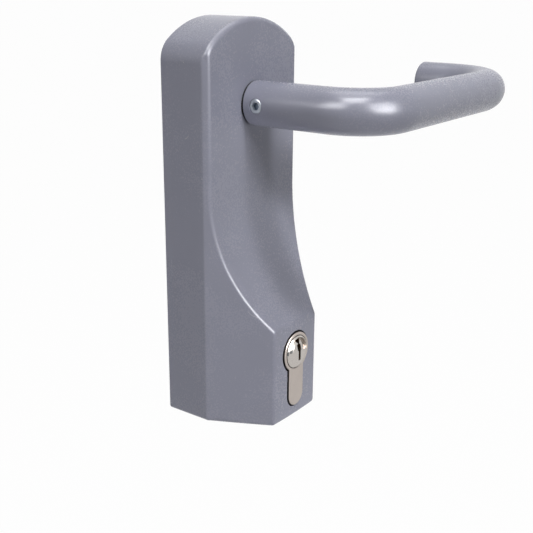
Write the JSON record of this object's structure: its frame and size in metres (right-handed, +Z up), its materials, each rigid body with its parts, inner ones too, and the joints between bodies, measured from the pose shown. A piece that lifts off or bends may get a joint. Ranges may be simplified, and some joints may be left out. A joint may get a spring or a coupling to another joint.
{
  "type": "exit device outside lever",
  "caption": "Outside lever of a panic exit device: arched die-cast casing with a scooped front, a round return lever and a profile cylinder that locks it.",
  "frame": {"origin": "on the lever's axis, at the door's face", "axes": "+Y into the door along the lever's axis, +Z up, +X along the lever"},
  "size_m": [0.1595, 0.087, 0.1652],
  "materials": {
    "silver_paint": "satin silver-grey paint",
    "satin_nickel": "satin nickel plate on brass",
    "zinc_plate": "bright zinc plate",
    "machined_steel": "machined",
    "spring_steel": "drawn wire and strip",
    "brass": "turned",
    "black_polymer": "moulded"
  },
  "bodies": {
    "housing": {"casing": "silver_paint", "chassis_plate": "zinc_plate", "plate_screws": "zinc_plate", "lever_bush": "black_polymer", "thrust_washer": "black_polymer", "return_spring": "spring_steel", "stop_pin": "machined_steel", "slide_guide_pins": "machined_steel", "slide_clips": "spring_steel", "detent_spring": "spring_steel", "detent_pins": "machined_steel", "cylinder_body": "satin_nickel", "cylinder_screw": "zinc_plate", "driver_pins": "brass", "pin_springs": "spring_steel", "chamber_caps": "brass"},
    "lever_unit": {"lever": "silver_paint", "lever_set_screw": "zinc_plate", "drive_hub": "machined_steel"},
    "plug_unit": {"cylinder_plug": "satin_nickel", "cylinder_cam": "machined_steel", "plug_clip": "spring_steel", "key_pins": "brass"},
    "slide_unit": {"lock_slide": "zinc_plate"}
  },
  "joints": [
    {"name": "lever_turn", "type": "hinge", "parent": "housing", "child": "lever_unit", "pos_m": [0, 0, 0], "axis": [0, 1, 0], "range_deg": [0, 45], "stiffness_Nm_per_rad": 0.8, "springref_deg": -85.94, "deforming": ["return_spring"]},
    {"name": "plug_turn", "type": "hinge", "parent": "housing", "child": "plug_unit", "pos_m": [0, 0, -0.102], "axis": [0, -1, 0], "range_deg": [0, 90]},
    {"name": "slide_travel", "type": "slide", "parent": "housing", "child": "slide_unit", "axis": [0, 0, 1], "range_m": [0, 0.01556], "deforming": ["detent_spring"]}
  ],
  "couplings": [
    {"joint": "plug_turn", "follows": "slide_travel", "rad_per_m": 100.98}
  ]
}
